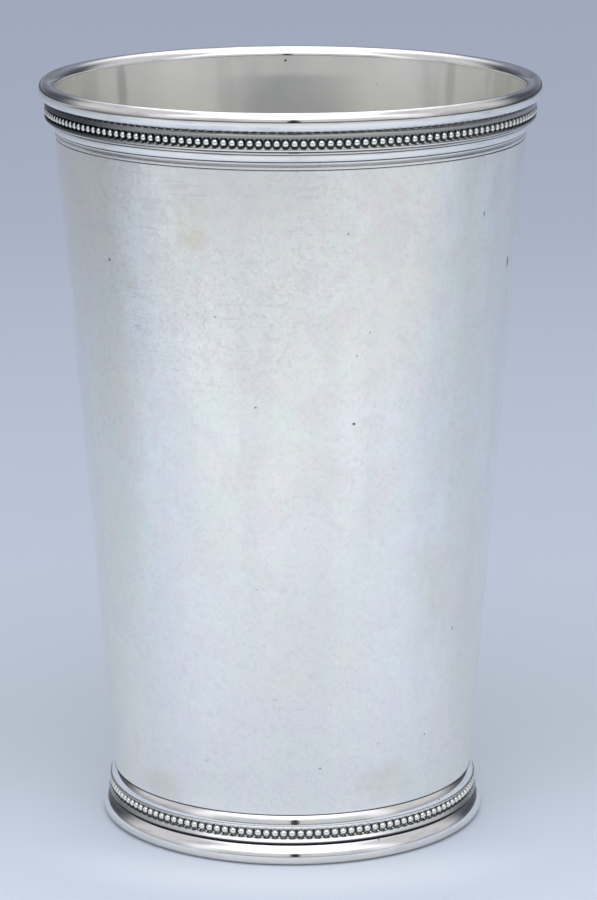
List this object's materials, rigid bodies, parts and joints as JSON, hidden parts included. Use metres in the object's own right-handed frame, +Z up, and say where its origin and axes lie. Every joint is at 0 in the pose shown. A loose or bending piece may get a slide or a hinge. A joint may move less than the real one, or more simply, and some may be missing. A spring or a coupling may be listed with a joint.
{
  "type": "julep cup",
  "caption": "Straight tapered silver julep cup with a half-round lip, beaded borders at the rim and the foot, and a round foot ring; it holds a drink or a small posy.",
  "frame": {"origin": "on the table, under the cup's axis, at the middle of the foot ring's underside", "axes": "+Z up along the cup's axis, towards the mouth; the cup is round, so +X and +Y are free"},
  "size_m": [0.0881, 0.0882, 0.1333],
  "materials": {
    "satin_silver": "hand-polished silver with fine rubbing marks",
    "polished_silver": "bright polish",
    "oxidised_beading": "bright beads over a darkened channel"
  },
  "bodies": {
    "root": {"cup_wall": "satin_silver", "base_pan": "satin_silver", "lip_moulding": "polished_silver", "rim_bead_strip": "oxidised_beading", "rim_reeded_wire": "polished_silver", "foot_half_round_wire": "polished_silver", "foot_bead_strip": "oxidised_beading", "foot_ring": "polished_silver"}
  },
  "joints": []
}
